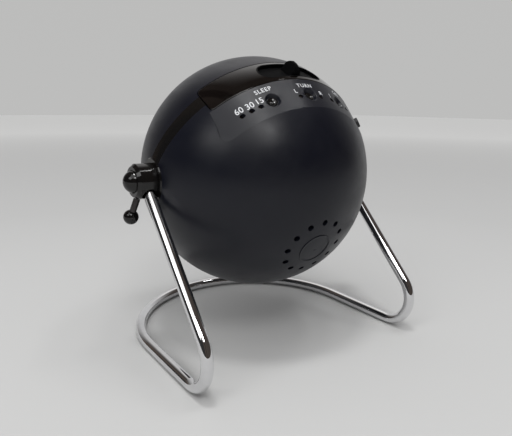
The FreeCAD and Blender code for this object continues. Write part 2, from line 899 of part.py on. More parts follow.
def dish_direction(across):
    """Square to the panel's surface at a button, in the globe frame."""
    turn = math.asin(value(across) / value("dish_ring"))
    slope = math.radians(value("panel_slope"))
    flat = math.cos(slope)
    return Vector(flat * math.sin(turn), -flat * math.cos(turn), -math.sin(slope))


def dish_rise(across):
    """The dish floor's place up the panel, in the panel frame."""
    return "sqrt(dish_ring^2 - (%s)^2) * sin(panel_slope) - dish_level * cos(panel_slope)" % across


BUTTONS = {"timer": "row_shift - button_spacing", "move": "row_shift", "power": "row_shift + button_spacing"}

LIGHTS = {
    "timer_light_15": "-timer_light_first",
    "timer_light_30": "-timer_light_first - timer_light_step",
    "timer_light_60": "-timer_light_first - 2 * timer_light_step",
    "move_light_north": "row_shift - direction_light_offset",
    "move_light_south": "row_shift + direction_light_offset",
    "power_light_left": "power_light_middle - direction_light_offset",
    "power_light_right": "power_light_middle + direction_light_offset",
}


def in_panel(name, thing):
    """Place a piece that is made in the panel frame."""
    return node(name, thing, ("0", "pivot_y", "pivot_height"), ((1, 0, 0), "lens_tilt + panel_slope"))


def control_cuts():
    cuts = []
    for word, across in BUTTONS.items():
        flare = "dish_radius + (dish_radius - dish_floor_radius)"
        dish = cone(word + "_dish", "dish_floor_radius", flare, "2 * dish_depth")
        cuts.append(aimed(dish, dish_point(across), dish_direction(across)))
        lip = cone(word + "_dish_lip", "dish_radius - dish_lip", "dish_radius + 3 * dish_lip", "2 * dish_lip")
        lip_foot = dish_point(across) + dish_direction(across) * value("dish_depth - dish_lip")
        cuts.append(aimed(lip, lip_foot, dish_direction(across)))
        cuts.append(cylinder(word + "_button_hole", "button_radius + button_slip",
                             "ball_radius - plunger_top",
                             panel_point(across, dish_rise(across), "plunger_top"), PANEL_TURN))
    for word, across in LIGHTS.items():
        rise = panel_rise(across, "light_level")
        height = panel_height(across, "light_level")
        cuts.append(cylinder(word + "_hole", "light_radius + light_slip", "3 * shell_wall",
                             panel_point(across, rise, height + " - 2 * shell_wall"), PANEL_TURN))
    return cuts


def board_screw_points():
    """Both screws of the control board, in the panel frame."""
    up = "board_high - board_screw_margin"
    return [("board_screw_margin - board_left", up), ("board_right - board_screw_margin", up)]


def board_posts():
    posts = [cylinder("board_post_%d" % number, "board_post_radius", "ball_radius - board_distance",
                      panel_point(across, up, "board_distance"), PANEL_TURN)
             for number, (across, up) in enumerate(board_screw_points())]
    limit = ball("board_post_limit", "cavity_radius + slip")
    return shared("board_posts", [joined("board_posts_all", posts), limit])


def inlet_direction():
    turn = math.radians(value("inlet_turn"))
    latitude = math.radians(value("inlet_latitude"))
    flat = math.cos(latitude)
    return Vector(flat * math.sin(turn), -flat * math.cos(turn), -math.sin(latitude))


def rear_cuts():
    cuts = []
    for number in range(round(value("vent_count"))):
        angle = "%d * 360 / vent_count" % number
        cuts.append(cylinder(
            "vent_%d" % number, "vent_radius", "4 * shell_wall",
            ("vent_place * sin(%s)" % angle, "-vent_place * cos(%s)" % angle, "-ball_radius - shell_wall")))
    cuts.append(cylinder("badge_recess", "badge_radius + slip", "shell_wall",
                         ("0", "0", "-badge_floor - shell_wall")))
    cuts.append(aimed(cylinder("inlet_hole", "inlet_radius + slip", "3 * shell_wall"),
                      inlet_direction() * value("ball_radius - 2 * shell_wall"), inlet_direction()))
    bore = "case_head_radius + case_bore_slip"
    cuts += screw_holes("case_bore", CASE_PLACES, bore, "-ball_radius", "-case_head_place")
    cuts += screw_holes("case_hole", CASE_PLACES, "case_screw_radius + slip", "-ball_radius", "0")
    cuts += screw_holes("chassis_hole", CHASSIS_PLACES, "small_screw_radius",
                        "chassis_top - small_screw_length", "0")
    cuts += [cylinder("board_hole_%d" % number, "small_screw_radius", "small_screw_length",
                      panel_point(across, up, "board_distance - board_thickness"), PANEL_TURN)
             for number, (across, up) in enumerate(board_screw_points())]
    return cuts


def panel_room():
    """What is cut off the globe for the panel: a cone's face with upright ends."""
    cone_face = sector("panel_cone", [
        ("panel_bottom_radius", "-panel_bottom"),
        ("ball_radius + shell_wall", "-panel_bottom"),
        ("ball_radius + shell_wall", "-panel_top"),
        ("panel_top_radius", "-panel_top"),
    ], "60")
    window = padded("panel_window", [
        ("-panel_half_width", "0"),
        ("-panel_half_width", "panel_corner - panel_bottom", "panel_corner", 1),
        ("panel_corner - panel_half_width", "-panel_bottom"),
        ("panel_half_width - panel_corner", "-panel_bottom", "panel_corner", 1),
        ("panel_half_width", "panel_corner - panel_bottom"),
        ("panel_half_width", "0"),
    ], "ball_radius + 2 * shell_wall", "XZ_Plane")
    return shared("panel_room", [cone_face, window])


def make_rear_shell():
    body = turned("rear_shell_turned", [
        ("0", "-ball_radius", "ball_radius", 1),
        (at_latitude("ball_radius", "band_rear"), "-band_rear"),
        (at_latitude("cavity_radius", "band_rear"), "-band_rear", "cavity_radius", -1),
        ("0", "-cavity_radius"),
    ])
    bottom = "-chassis_bottom"
    case_posts = shell_posts("rear_posts", CASE_PLACES, "post_radius", "-ball_radius", bottom)
    chassis_posts = shell_posts("chassis_posts", CHASSIS_PLACES, "chassis_post_radius",
                                "-ball_radius", bottom)
    cuts = [panel_room(), door_opening("rear_door_opening")]
    cuts += pivot_cuts("rear_pivot") + control_cuts() + rear_cuts()
    solid = joined("rear_shell_solid", [body, case_posts, chassis_posts, board_posts()])
    in_globe("rear_shell", less("rear_shell_cut", solid, cuts))


def make_rear_badge():
    inner = "badge_radius - badge_ring_width"
    in_globe("rear_badge", turned("rear_badge_turned", [
        ("0", "-ball_radius", "ball_radius", 1),
        (inner, "-" + at_latitude("ball_radius", inner)),
        (inner, "-" + at_latitude("ball_radius", inner) + " - badge_ring"),
        ("badge_radius", "-" + at_latitude("ball_radius", inner) + " - badge_ring"),
        ("badge_radius", "-badge_floor"),
        ("0", "-badge_floor"),
    ]))


def make_button(word, across):
    """A button that travels square to the board, with its dimpled top in line
    with the panel's curve."""
    rise = dish_rise(across)
    clear = "abs(%s) + collar_radius" % across
    collar = "sqrt(cavity_radius^2 - (%s)^2 - (%s)^2) - running" % (clear, rise)
    stem = "button_radius - 2 * button_slip"
    body = turned(word + "_button_turned", [
        ("0", "plunger_top + button_travel + slip"),
        (stem, "plunger_top + button_travel + slip"),
        (stem, collar + " - button_collar"),
        ("collar_radius", collar + " - button_collar"),
        ("collar_radius", collar),
        ("button_radius", collar),
        ("button_radius", "ball_radius"),
        ("0", "ball_radius"),
    ])
    put(body, (across, rise, "0"))
    to_panel = FreeCAD.Rotation(Vector(1, 0, 0), 90 + value("panel_slope")).inverted()
    top = to_panel.multVec(dish_point(across))
    outwards = to_panel.multVec(dish_direction(across))
    above = turned(word + "_button_top", [
        ("0", "0"),
        ("button_radius - button_edge", "0"),
        ("button_radius + button_edge", "-2 * button_edge"),
        ("4 * button_radius", "-2 * button_edge"),
        ("4 * button_radius", "ball_radius"),
        ("0", "ball_radius"),
    ])
    aimed(above, top + outwards * value("dish_depth - button_sink"), outwards)
    dimple = ball(word + "_button_dimple", "dimple_curve")
    aimed(dimple, top + outwards * value("dish_depth - button_sink + dimple_curve - dimple_depth"), outwards)
    cut = less(word + "_button_cut", body, [above, dimple])
    in_panel(word + "_button", group(word + "_button_piece", [cut]))


def make_light(word, across):
    edge = "abs(%s) + light_radius" % across
    top = panel_height(edge, "light_level") + " - light_sink"
    pipe = cylinder(word + "_pipe", "light_radius", "%s - board_distance" % top,
                    (across, panel_rise(across, "light_level"), "board_distance"))
    in_panel(word, group(word + "_piece", [pipe]))


def small_screw(name, at, turn=None, length="small_screw_length"):
    """A pan-head screw whose shank starts at a point and runs along +Z."""
    body = turned(name, [
        ("0", "-small_head_height"),
        ("small_head_radius", "-small_head_height"),
        ("small_head_radius", "0"),
        ("small_screw_radius", "0"),
        ("small_screw_radius", length),
        ("0", length),
    ])
    return put(body, at, turn)


def make_controls():
    for word, across in BUTTONS.items():
        make_button(word, across)
    for word, across in LIGHTS.items():
        make_light(word, across)
    board = block("control_board_blank", ("-board_left", "-board_low", "board_distance - board_thickness"),
                  ("board_right", "board_high", "board_distance"))
    holes = [cylinder("board_clear_%d" % number, "small_screw_radius", "2 * board_thickness",
                      (across, up, "board_distance - 1.5 * board_thickness"))
             for number, (across, up) in enumerate(board_screw_points())]
    in_panel("control_board", less("control_board_drilled", board, holes))
    switches = []
    for word, across in BUTTONS.items():
        rise = dish_rise(across)
        half = "switch_side / 2"
        body = block(word + "_switch_body",
                     ("%s - %s" % (across, half), "%s - %s" % (rise, half), "board_distance"),
                     ("%s + %s" % (across, half), "%s + %s" % (rise, half), "board_distance + switch_height"))
        plunger = cylinder(word + "_switch_plunger", "switch_plunger_radius", "switch_plunger",
                           (across, rise, "board_distance + switch_height"))
        switches.append(joined(word + "_switch", [body, plunger]))
    in_panel("tact_switches", group("switch_group", switches))
    screws = [small_screw("board_screw_%d" % number, (across, up, "board_distance - board_thickness"))
              for number, (across, up) in enumerate(board_screw_points())]
    in_panel("board_screws", group("board_screw_group", screws))


def make_dc_inlet():
    floor = "inlet_top - inlet_bore_depth"
    flange_top = at_latitude("cavity_radius", "inlet_flange_radius") + " - slip"
    inlet = turned("dc_inlet_turned", [
        ("0", "inlet_top - inlet_length"),
        ("inlet_radius", "inlet_top - inlet_length"),
        ("inlet_radius", flange_top + " - shell_wall / 2"),
        ("inlet_flange_radius", flange_top + " - shell_wall / 2"),
        ("inlet_flange_radius", flange_top),
        ("inlet_radius", flange_top),
        ("inlet_radius", "inlet_top - running"),
        ("inlet_radius - running", "inlet_top"),
        ("inlet_bore", "inlet_top"),
        ("inlet_bore", floor),
        ("inlet_pin_radius", floor),
        ("inlet_pin_radius", "inlet_top - 2 * running"),
        ("0", "inlet_top - 2 * running"),
    ])
    inlet.Placement = globe_place().multiply(FreeCAD.Placement(
        Vector(), FreeCAD.Rotation(Vector(0, 0, 1), inlet_direction())))
    node("dc_inlet", inlet)


# ------------------------------------------------------- disc door and tray

def stadium(name, length, width):
    """A round-ended bar that runs from the lens axis out through the door."""
    side = "(%s) / 2" % width
    flat = "(%s) / 2 - (%s) / 2" % (length, width)
    low = "grip_middle - " + side
    high = "grip_middle + " + side
    return padded(name, [
        ("-(%s)" % flat, low),
        (flat, low, side, 1),
        ("(%s) / 2" % length, "grip_middle", side, 1),
        (flat, high),
        ("-(%s)" % flat, high, side, 1),
        ("-(%s) / 2" % length, "grip_middle", side, 1),
    ], "ball_radius + 2 * ridge_height", "XZ_Plane")


def make_disc_door():
    plate = sector("door_plate", [
        (at_latitude("cavity_radius", "door_rear"), "-door_rear"),
        (at_latitude("ball_radius", "door_rear"), "-door_rear", "ball_radius", 1),
        (at_latitude("ball_radius", "door_front"), "door_front"),
        (at_latitude("cavity_radius", "door_front"), "door_front", "cavity_radius", -1),
    ], "door_half_angle")
    soften_corners(plate, "door_corner")
    soften_rim(plate, "door_edge")
    in_globe("disc_door", less("door_cut", plate, [stadium("grip_hole", "grip_length", "grip_width")]))


def make_door_grip():
    outer = stadium("grip_outer", "grip_length - 2 * slip", "grip_width - 2 * slip")
    inner = stadium("grip_inner", "grip_length - 2 * grip_rim", "grip_width - 2 * grip_rim")
    dish = less("grip_dish_room", inner, [ball("grip_floor_ball", "ball_radius - grip_depth")])
    pan = less("grip_pan", shared("grip_blank", [outer, ball("grip_limit", "ball_radius")]),
               [dish, ball("grip_back", "ball_radius - grip_depth - grip_floor")])
    crest = "-ball_radius - ridge_height"
    foot = "-ball_radius + grip_depth + grip_floor / 2"
    prism = padded("ridge_prism", [
        ("-ridge_foot", foot),
        ("-ridge_crest", crest, "1.2 * ridge_crest", 1),
        ("ridge_crest", crest),
        ("ridge_foot", foot),
    ], "ridge_length")
    put(prism, ("0", "0", "ridge_middle - ridge_length / 2"))
    peak = "ball_radius + ridge_height + ridge_crest / 2"
    arch = cylinder("ridge_arch_bar", "ridge_arch", "4 * ridge_foot",
                    ("-2 * ridge_foot", "ridge_arch - (%s)" % peak, "ridge_middle"), ((0, 1, 0), "90"))
    in_globe("door_grip", joined("grip_all", [pan, shared("ridge", [prism, arch])]))


def make_disc_tray():
    front = "cavity_radius - slip"
    edge = "-sqrt((%s)^2 - tray_half_width^2)" % front
    body = padded("tray_blank", [
        ("-tray_half_width", edge, front, 1),
        ("tray_half_width", edge),
        ("tray_half_width", "tray_shoulder", "tray_tail_curve", 1),
        ("0", "tray_half_width", "tray_tail_curve", 1),
        ("-tray_half_width", "tray_shoulder"),
    ], "tray_bottom + tray_top")
    put(body, ("0", "0", "-tray_bottom"))
    seat = cylinder("disc_pocket", "disc_radius + disc_seat_slip", "tray_bottom + tray_top",
                    ("0", "0", "tray_floor - tray_bottom"))
    window = cylinder("tray_light_window", "tray_window", "2 * tray_bottom", ("0", "0", "-1.5 * tray_bottom"))
    notch = block("roller_notch", ("-tray_notch / 2", "tray_window / 2", "-2 * tray_bottom"),
                  ("tray_notch / 2", "2 * tray_half_width", "2 * tray_top"))
    in_globe("disc_tray", less("tray_cut", body, [seat, window, notch]))


def make_star_disc():
    inner = "disc_radius - disc_frame_width"
    in_globe("star_disc_frame", turned("disc_frame_turned", tube(
        inner, "disc_radius", "disc_bottom", "disc_bottom + disc_frame_height")))
    film_bottom = "disc_bottom + (disc_frame_height - disc_film) / 2"
    in_globe("star_disc", cylinder("disc_film_plate", inner + " - socket_slip", "disc_film"),
             ("0", "0", film_bottom))


# -------------------------------------------------------- chassis and drive

def make_chassis():
    plate = cylinder("chassis_disc", "chassis_radius", "chassis_thickness", ("0", "0", "-chassis_bottom"))
    pieces = [plate]
    half = "bearing_width / 2"
    for word, side in SIDES.items():
        ends = sorted(("%d * bearing_outer" % side, "%d * (bearing_outer - bearing_depth)" % side), key=value)
        pieces.append(block(word + "_bearing_block",
                            (ends[0], "-" + half, "-" + half), (ends[1], half, half)))
        inside = sorted(("%d * (tray_half_width - rail_step)" % side,
                         "%d * (tray_half_width + rail_width)" % side), key=value)
        wall = sorted(("%d * (tray_half_width + running)" % side,
                       "%d * (tray_half_width + rail_width)" % side), key=value)
        pieces.append(block(word + "_rail_foot", (inside[0], "-rail_front", "-chassis_bottom"),
                            (inside[1], "rail_rear", "-tray_bottom - slip")))
        pieces.append(block(word + "_rail_wall", (wall[0], "-rail_front", "-chassis_bottom"),
                            (wall[1], "rail_rear", "rail_height")))
    bore = "2 * ball_radius"
    cuts = [
        cylinder("chassis_light_window", "chassis_window", "2 * chassis_thickness",
                 ("0", "0", "-chassis_bottom - chassis_thickness / 2")),
        cylinder("chassis_shaft_hole", "roller_radius", "2 * chassis_thickness",
                 ("0", "roller_place", "-chassis_bottom - chassis_thickness / 2")),
        cylinder("chassis_plug_bore", "plug_radius + slip", bore,
                 ("-ball_radius", "0", "0"), ((0, 1, 0), "90")),
    ]
    cuts += screw_holes("chassis_case_hole", CASE_PLACES, "case_screw_radius + slip",
                        "-2 * chassis_bottom", "chassis_bottom")
    cuts += screw_holes("chassis_post_hole", CHASSIS_PLACES, "small_screw_radius",
                        "-2 * chassis_bottom", "chassis_bottom")
    cuts += screw_holes("chassis_lamp_hole", lamp_places(), "small_screw_radius",
                        "-2 * chassis_bottom", "chassis_bottom")
    in_globe("chassis_plate", less("chassis_cut", joined("chassis_solid", pieces), cuts))


def lamp_places():
    return [("(chassis_window + lamp_flange) / 2 * cos(%d)" % angle,
             "(chassis_window + lamp_flange) / 2 * sin(%d)" % angle) for angle in (30, 150, 270)]


def make_chassis_screws():
    screws = [small_screw("chassis_screw_%d" % number, (across, deep, "chassis_top"), ((1, 0, 0), "180"))
              for number, (across, deep) in enumerate(CHASSIS_PLACES)]
    seat = "-chassis_bottom - lamp_flange_thickness"
    screws += [small_screw("lamp_screw_%d" % number, (across, deep, seat), None,
                           "lamp_flange_thickness + chassis_thickness")
               for number, (across, deep) in enumerate(lamp_places())]
    in_globe("chassis_screws", group("chassis_screw_group", screws))


def make_case_screws():
    outline = [
        ("0", "-case_head_place - case_head_height"),
        ("case_head_radius", "-case_head_place - case_head_height"),
        ("case_head_radius", "-case_head_place"),
        ("case_screw_radius", "-case_head_place"),
        ("case_screw_radius", "case_screw_reach"),
        ("0", "case_screw_reach"),
    ]
    screws = [put(turned("case_screw_%d" % number, outline), (across, deep, "0"))
              for number, (across, deep) in enumerate(CASE_PLACES)]
    in_globe("case_screws", group("case_screw_group", screws))


def make_drive():
    top = "disc_bottom + disc_frame_height / 2 + roller_height / 2"
    bottom = "disc_bottom + disc_frame_height / 2 - roller_height / 2"
    hub = "roller_radius - roller_tyre"
    shaft_end = "-chassis_bottom - motor_length / 3"
    place = ("0", "roller_place", "0")
    in_globe("drive_roller", turned("drive_roller_turned", [
        ("0", shaft_end),
        ("motor_shaft_radius", shaft_end),
        ("motor_shaft_radius", bottom),
        (hub, bottom),
        (hub, top),
        ("0", top),
    ]), place)
    in_globe("roller_tyre", turned("roller_tyre_turned", tube(hub, "roller_radius", bottom, top)), place)
    in_globe("drive_motor", turned("drive_motor_turned", [
        ("0", "-chassis_bottom - motor_length"),
        ("motor_radius", "-chassis_bottom - motor_length"),
        ("motor_radius", "-chassis_bottom"),
        ("motor_shaft_radius + socket_slip", "-chassis_bottom"),
        ("motor_shaft_radius + socket_slip", shaft_end + " - slip"),
        ("0", shaft_end + " - slip"),
    ]), place)


# --------------------------------------------------------------------- lamp

def make_lamp():
    outer = "lamp_inner + lamp_wall"
    top = "-chassis_bottom"
    flange = "-chassis_bottom - lamp_flange_thickness"
    housing = turned("lamp_housing_turned", [
        ("lamp_inner", "-lamp_bottom"),
        (outer, "-lamp_bottom"),
        (outer, flange),
        ("lamp_flange", flange),
        ("lamp_flange", top),
        ("lamp_inner", top),
        ("lamp_inner", "-condenser_seat"),
        ("lamp_inner - condenser_ledge", "-condenser_seat"),
        ("lamp_inner - condenser_ledge", "-condenser_seat - condenser_ledge"),
        ("lamp_inner", "-condenser_seat - condenser_ledge"),
    ])
    holes = screw_holes("lamp_flange_hole", lamp_places(), "small_screw_radius", "-2 * chassis_bottom", "0")
    in_globe("lamp_housing", less("lamp_housing_drilled", housing, holes))
    glass = "lamp_inner - glass_slip"
    edge = "condenser_edge - condenser_seat"
    in_globe("condenser_lens", turned("condenser_turned", [
        ("0", "-condenser_seat"),
        (glass, "-condenser_seat"),
        (glass, edge, "((%s)^2 + condenser_rise^2) / (2 * condenser_rise)" % glass, 1),
        ("0", edge + " + condenser_rise"),
    ]))
    board_bottom = "-lamp_bottom - led_board_thickness"
    in_globe("led_board", cylinder("led_board_disc", "led_board_radius", "led_board_thickness"),
             ("0", "0", board_bottom))
    in_globe("led_emitter", turned("led_turned", [
        ("0", "-lamp_bottom"),
        ("led_radius", "-lamp_bottom", "(led_radius^2 + led_height^2) / (2 * led_height)", 1),
        ("0", "led_height - lamp_bottom"),
    ]))
    fin_top = board_bottom + " - sink_plate"
    fin_bottom = fin_top + " - sink_fin"
    fins = []
    half = "(sink_fin_count - 1) / 2"
    for number in range(round(value("sink_fin_count"))):
        middle = "(%d - %s) * sink_fin_step" % (number, half)
        fins.append(block("sink_fin_%d" % number,
                          (middle + " - sink_fin_thickness / 2", "-sink_radius", fin_bottom),
                          (middle + " + sink_fin_thickness / 2", "sink_radius", fin_top)))
    fin_room = cylinder("sink_fin_room", "sink_radius", "sink_fin", ("0", "0", fin_bottom))
    plate = turned("sink_plate_turned", [
        ("0", fin_top),
        ("sink_radius", fin_top),
        ("sink_radius", "-lamp_bottom"),
        ("led_board_radius + slip", "-lamp_bottom"),
        ("led_board_radius + slip", board_bottom),
        ("0", board_bottom),
    ])
    fins_cut = shared("sink_fins", [joined("sink_fin_all", fins), fin_room])
    in_globe("heat_sink", joined("heat_sink_all", [plate, fins_cut]))


# --------------------------------------------------------------------- lens

def make_lens_mount():
    mount = turned("lens_mount_turned", [
        ("sleeve_inner", "sleeve_bottom"),
        ("sleeve_outer", "sleeve_bottom"),
        ("sleeve_outer", "mount_height"),
        ("mount_radius", "mount_height"),
        ("mount_radius", "mount_top"),
        ("sleeve_outer", "mount_top"),
        ("sleeve_outer", "sleeve_top"),
        ("sleeve_inner", "sleeve_top"),
    ])
    holes = screw_holes("mount_hole", mount_places(), "small_screw_radius",
                        "mount_height - slip", "mount_top + slip")
    in_globe("lens_mount", less("lens_mount_drilled", mount, holes))
    screws = [small_screw("mount_screw_%d" % number, (across, deep, "mount_height"))
              for number, (across, deep) in enumerate(mount_places())]
    in_globe("lens_mount_screws", group("mount_screw_group", screws))
    in_globe("lens_trim_ring", turned("lens_trim_turned", [
        ("opening_radius + slip", "trim_seat"),
        ("trim_radius", "trim_seat"),
        ("trim_radius", at_latitude("ball_radius", "trim_radius") + " + trim_rise / 2"),
        ("trim_radius - trim_rise", at_latitude("ball_radius", "trim_radius") + " + trim_rise"),
        ("opening_radius + slip", at_latitude("ball_radius", "opening_radius") + " + trim_rise"),
    ]))


def make_focus_ring():
    edge = "10 * slip"
    body = turned("focus_ring_turned", [
        ("focus_inner", "mount_top + slip"),
        ("focus_outer", "mount_top + slip"),
        ("focus_outer", "focus_top - " + edge),
        ("focus_outer - " + edge, "focus_top"),
        ("focus_inner + " + edge, "focus_top"),
        ("focus_inner", "focus_top - " + edge),
    ])
    sketch = body.newObject("Sketcher::SketchObject", "flute_sketch")
    plane = [part for part in body.Origin.OriginFeatures if part.Role == "XY_Plane"][0]
    sketch.AttachmentSupport = [(plane, "")]
    sketch.MapMode = "FlatFace"
    circle = Part.Circle(Vector(value("focus_outer"), 0, 0), Vector(0, 0, 1), value("focus_flute_radius"))
    sketch.addGeometry(circle, False)
    sketch.addConstraint(Sketcher.Constraint("PointOnObject", 0, 3, -1))
    across = sketch.addConstraint(Sketcher.Constraint("DistanceX", -1, 1, 0, 3, value("focus_outer")))
    bind(sketch, "Constraints[%d]" % across, "focus_outer")
    size = sketch.addConstraint(Sketcher.Constraint("Radius", 0, value("focus_flute_radius")))
    bind(sketch, "Constraints[%d]" % size, "focus_flute_radius")
    doc.recompute()
    flute = body.newObject("PartDesign::Pocket", "flute")
    flute.Profile = sketch
    flute.Type = "ThroughAll"
    flute.Reversed = True
    pattern = body.newObject("PartDesign::PolarPattern", "flutes")
    pattern.Originals = [flute]
    pattern.Axis = (sketch, ["N_Axis"])
    pattern.Angle = 360
    bind(pattern, "Occurrences", "focus_flute_count")
    body.Tip = pattern
    in_globe("focus_ring", body)


def lens_outline(low, edge, back, front):
    """Corners of a lens: a curved back where back is not 0, an edge, a curved front."""
    def curve(rise):
        return "(glass_radius^2 + (%s)^2) / (2 * (%s))" % (rise, rise)
    if back == "0":
        start = [("0", low), ("glass_radius", low)]
    else:
        start = [("0", "%s - %s" % (low, back), curve(back), 1), ("glass_radius", low)]
    return start + [
        ("glass_radius", "%s + %s" % (low, edge), curve(front), 1),
        ("0", "%s + %s + %s" % (low, edge, front)),
    ]


def make_lens():
    bore = "barrel_radius - barrel_wall"
    in_globe("lens_barrel", turned("barrel_turned", [
        (bore + " - barrel_lip", "barrel_bottom"),
        ("barrel_radius", "barrel_bottom"),
        ("barrel_radius", "barrel_top"),
        (bore, "barrel_top"),
        (bore, "rear_lens_place"),
        (bore + " - barrel_lip", "rear_lens_place"),
    ]))
    in_globe("rear_lens", turned("rear_lens_turned", lens_outline(
        "rear_lens_place", "rear_lens_edge", "0", "rear_lens_rise")))
    in_globe("middle_lens", turned("middle_lens_turned", lens_outline(
        "middle_lens_place", "middle_lens_edge", "middle_lens_rise", "middle_lens_rise")))
    in_globe("front_lens", turned("front_lens_turned", lens_outline(
        "front_lens_place", "front_lens_edge", "front_lens_back", "front_lens_rise")))
    inner = "glass_radius - spacer_wall"
    in_globe("rear_lens_spacer", turned("rear_spacer_turned", tube(
        inner, "glass_radius", "rear_lens_place + rear_lens_edge + lens_relief",
        "middle_lens_place - lens_relief")))
    in_globe("front_lens_spacer", turned("front_spacer_turned", tube(
        inner, "glass_radius", "middle_lens_place + middle_lens_edge + lens_relief",
        "front_lens_place - lens_relief")))
    retainer_low = "front_lens_place + front_lens_edge + lens_relief"
    in_globe("lens_retaining_ring", turned("retainer_turned", tube(
        "glass_radius - retainer_wall", "glass_radius", retainer_low, retainer_low + " + retainer_height")))


# -------------------------------------------------------------------- build

make_wire_stand()
for word, side in SIDES.items():
    make_hub(word, side)
    make_hub_cap(word, side)
    make_pivot_flange(word, side)
make_pivot_fasteners()
make_lock_lever()
make_front_shell()
make_seam_band()
make_rear_shell()
make_rear_badge()
make_controls()
make_dc_inlet()
make_disc_door()
make_door_grip()
make_disc_tray()
make_star_disc()
make_chassis()
make_chassis_screws()
make_case_screws()
make_drive()
make_lamp()
make_lens_mount()
make_focus_ring()
make_lens()
doc.recompute()

for thing in doc.Objects:
    if {"Invalid", "Error"} & set(thing.State):
        raise RuntimeError("%s did not build: %s" % (thing.Name, thing.State))
for thing in nodes:
    if thing.Shape.isNull() or not thing.Shape.isValid():
        raise RuntimeError(thing.Label + " has no valid shape")

os.makedirs("parts", exist_ok=True)
for thing in nodes:
    thing.Shape.exportStep("parts/%s.step" % thing.Label)
    print("%-22s %2d solids %10.1f mm3" % (thing.Label, len(thing.Shape.Solids), thing.Shape.Volume))
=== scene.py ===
import json
import math

import bmesh
import bpy
from mathutils import Matrix, Vector


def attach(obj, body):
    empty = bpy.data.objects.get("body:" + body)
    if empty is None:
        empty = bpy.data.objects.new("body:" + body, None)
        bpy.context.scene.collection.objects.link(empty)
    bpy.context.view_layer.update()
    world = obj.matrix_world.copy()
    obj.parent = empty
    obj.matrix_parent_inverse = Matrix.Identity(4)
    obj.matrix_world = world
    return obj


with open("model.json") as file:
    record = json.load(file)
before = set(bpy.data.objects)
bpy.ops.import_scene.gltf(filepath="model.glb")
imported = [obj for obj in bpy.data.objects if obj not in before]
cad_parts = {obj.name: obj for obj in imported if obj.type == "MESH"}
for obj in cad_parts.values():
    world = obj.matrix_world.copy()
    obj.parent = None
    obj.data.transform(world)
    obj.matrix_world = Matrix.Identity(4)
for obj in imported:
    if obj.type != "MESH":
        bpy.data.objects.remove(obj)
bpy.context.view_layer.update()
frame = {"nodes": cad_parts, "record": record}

# The globe's own axes: X along the pivot, Z along the lens, -Y towards the disc door and the controls.
LENS_TILT = math.radians(31.0)
PIVOT = Vector((0.0, -0.001646, 0.0938))
GLOBE = Matrix.Translation(PIVOT) @ Matrix.Rotation(LENS_TILT - math.radians(90.0), 4, "X")
BALL = 0.065


# ------------------------------------------------------------------ camera

CAMERA_PLACE = (-0.16606, -0.239866, 0.13194)
CAMERA_TURN, CAMERA_LIFT, CAMERA_ROLL = math.radians(-35.18), math.radians(12.77), math.radians(0.65)
SENSOR_WIDTH = 36.0
# The focal length as a share of the sensor's width.
LENS_SHARE = 494.9 / 512.0


def aim_camera():
    """The camera stands low in front of the controls, on the lock lever's side."""
    turn, lift, roll = CAMERA_TURN, CAMERA_LIFT, CAMERA_ROLL
    back = Vector((math.sin(turn) * math.cos(lift), -math.cos(turn) * math.cos(lift), math.sin(lift)))
    right = Vector((math.cos(turn), math.sin(turn), 0.0))
    up = back.cross(right)
    level = Matrix((right, up, back)).transposed() @ Matrix.Rotation(roll, 3, "Z")
    view = bpy.data.cameras.new("view")
    view.sensor_width = SENSOR_WIDTH
    view.sensor_fit = "HORIZONTAL"
    view.lens = LENS_SHARE * SENSOR_WIDTH
    view.clip_start = 0.01
    camera = bpy.data.objects.new("view", view)
    camera.matrix_world = Matrix.Translation(CAMERA_PLACE) @ level.to_4x4()
    bpy.context.scene.collection.objects.link(camera)
    bpy.context.scene.camera = camera


aim_camera()


# ---------------------------------------------------------------- finishes

BLACK, WHITE = (0.0, 0.0, 0.0), (1.0, 1.0, 1.0)


class Shade:
    """One output of a node, which takes part in sums as a number would."""

    def __init__(self, nodes, socket):
        self.nodes = nodes
        self.socket = socket

    def _sum(self, operation, first, second):
        return self.nodes.node("ShaderNodeMath", {"operation": operation}, {0: first, 1: second})

    def __add__(self, other):
        return self._sum("ADD", self, other)

    def __mul__(self, other):
        return self._sum("MULTIPLY", self, other)

    def __lt__(self, other):
        return self._sum("LESS_THAN", self, other)

    __radd__ = __add__
    __rmul__ = __mul__


class Nodes:
    """A node tree, and the ways of adding to it."""

    def __init__(self, tree):
        self.tree = tree

    def feed(self, socket, given):
        if isinstance(given, Shade):
            self.tree.links.new(given.socket, socket)
        elif socket.type == "RGBA" and len(given) == 3:
            socket.default_value = (*given, 1.0)
        else:
            socket.default_value = given

    def node(self, kind, settings=None, values=None, output=0):
        """A new node, and the output of it that is wanted."""
        made = self.tree.nodes.new(kind)
        for word, setting in (settings or {}).items():
            if word == "stops":
                self.set_stops(made.color_ramp.elements, setting)
            else:
                setattr(made, word, setting)
        for word, given in (values or {}).items():
            self.feed(made.inputs[word], given)
        return Shade(self, made.outputs[output])

    def set_stops(self, elements, stops):
        """A new ramp comes with two stops, and the rest are added."""
        for number, (place, colour) in enumerate(stops):
            stop = elements[number] if number < 2 else elements.new(place)
            stop.position = place
            stop.color = (*colour, 1.0)

    def beside(self, shade, output):
        """Another output of the node that a shade comes from."""
        return Shade(self, shade.socket.node.outputs[output])

    def between(self, amount, low, high, start=0.3, end=0.7):
        """low to high, as amount goes from start to end."""
        return self.node("ShaderNodeMapRange", {}, {
            "Value": amount, "From Min": start, "From Max": end, "To Min": low, "To Max": high})

    def rising(self, amount, start, end):
        """0 to 1, as amount goes from start to end."""
        return self.between(amount, 0.0, 1.0, start, end)

    def colours(self, amount, low, high):
        return self.node("ShaderNodeMix", {"data_type": "RGBA"}, {0: amount, 6: low, 7: high}, output=2)


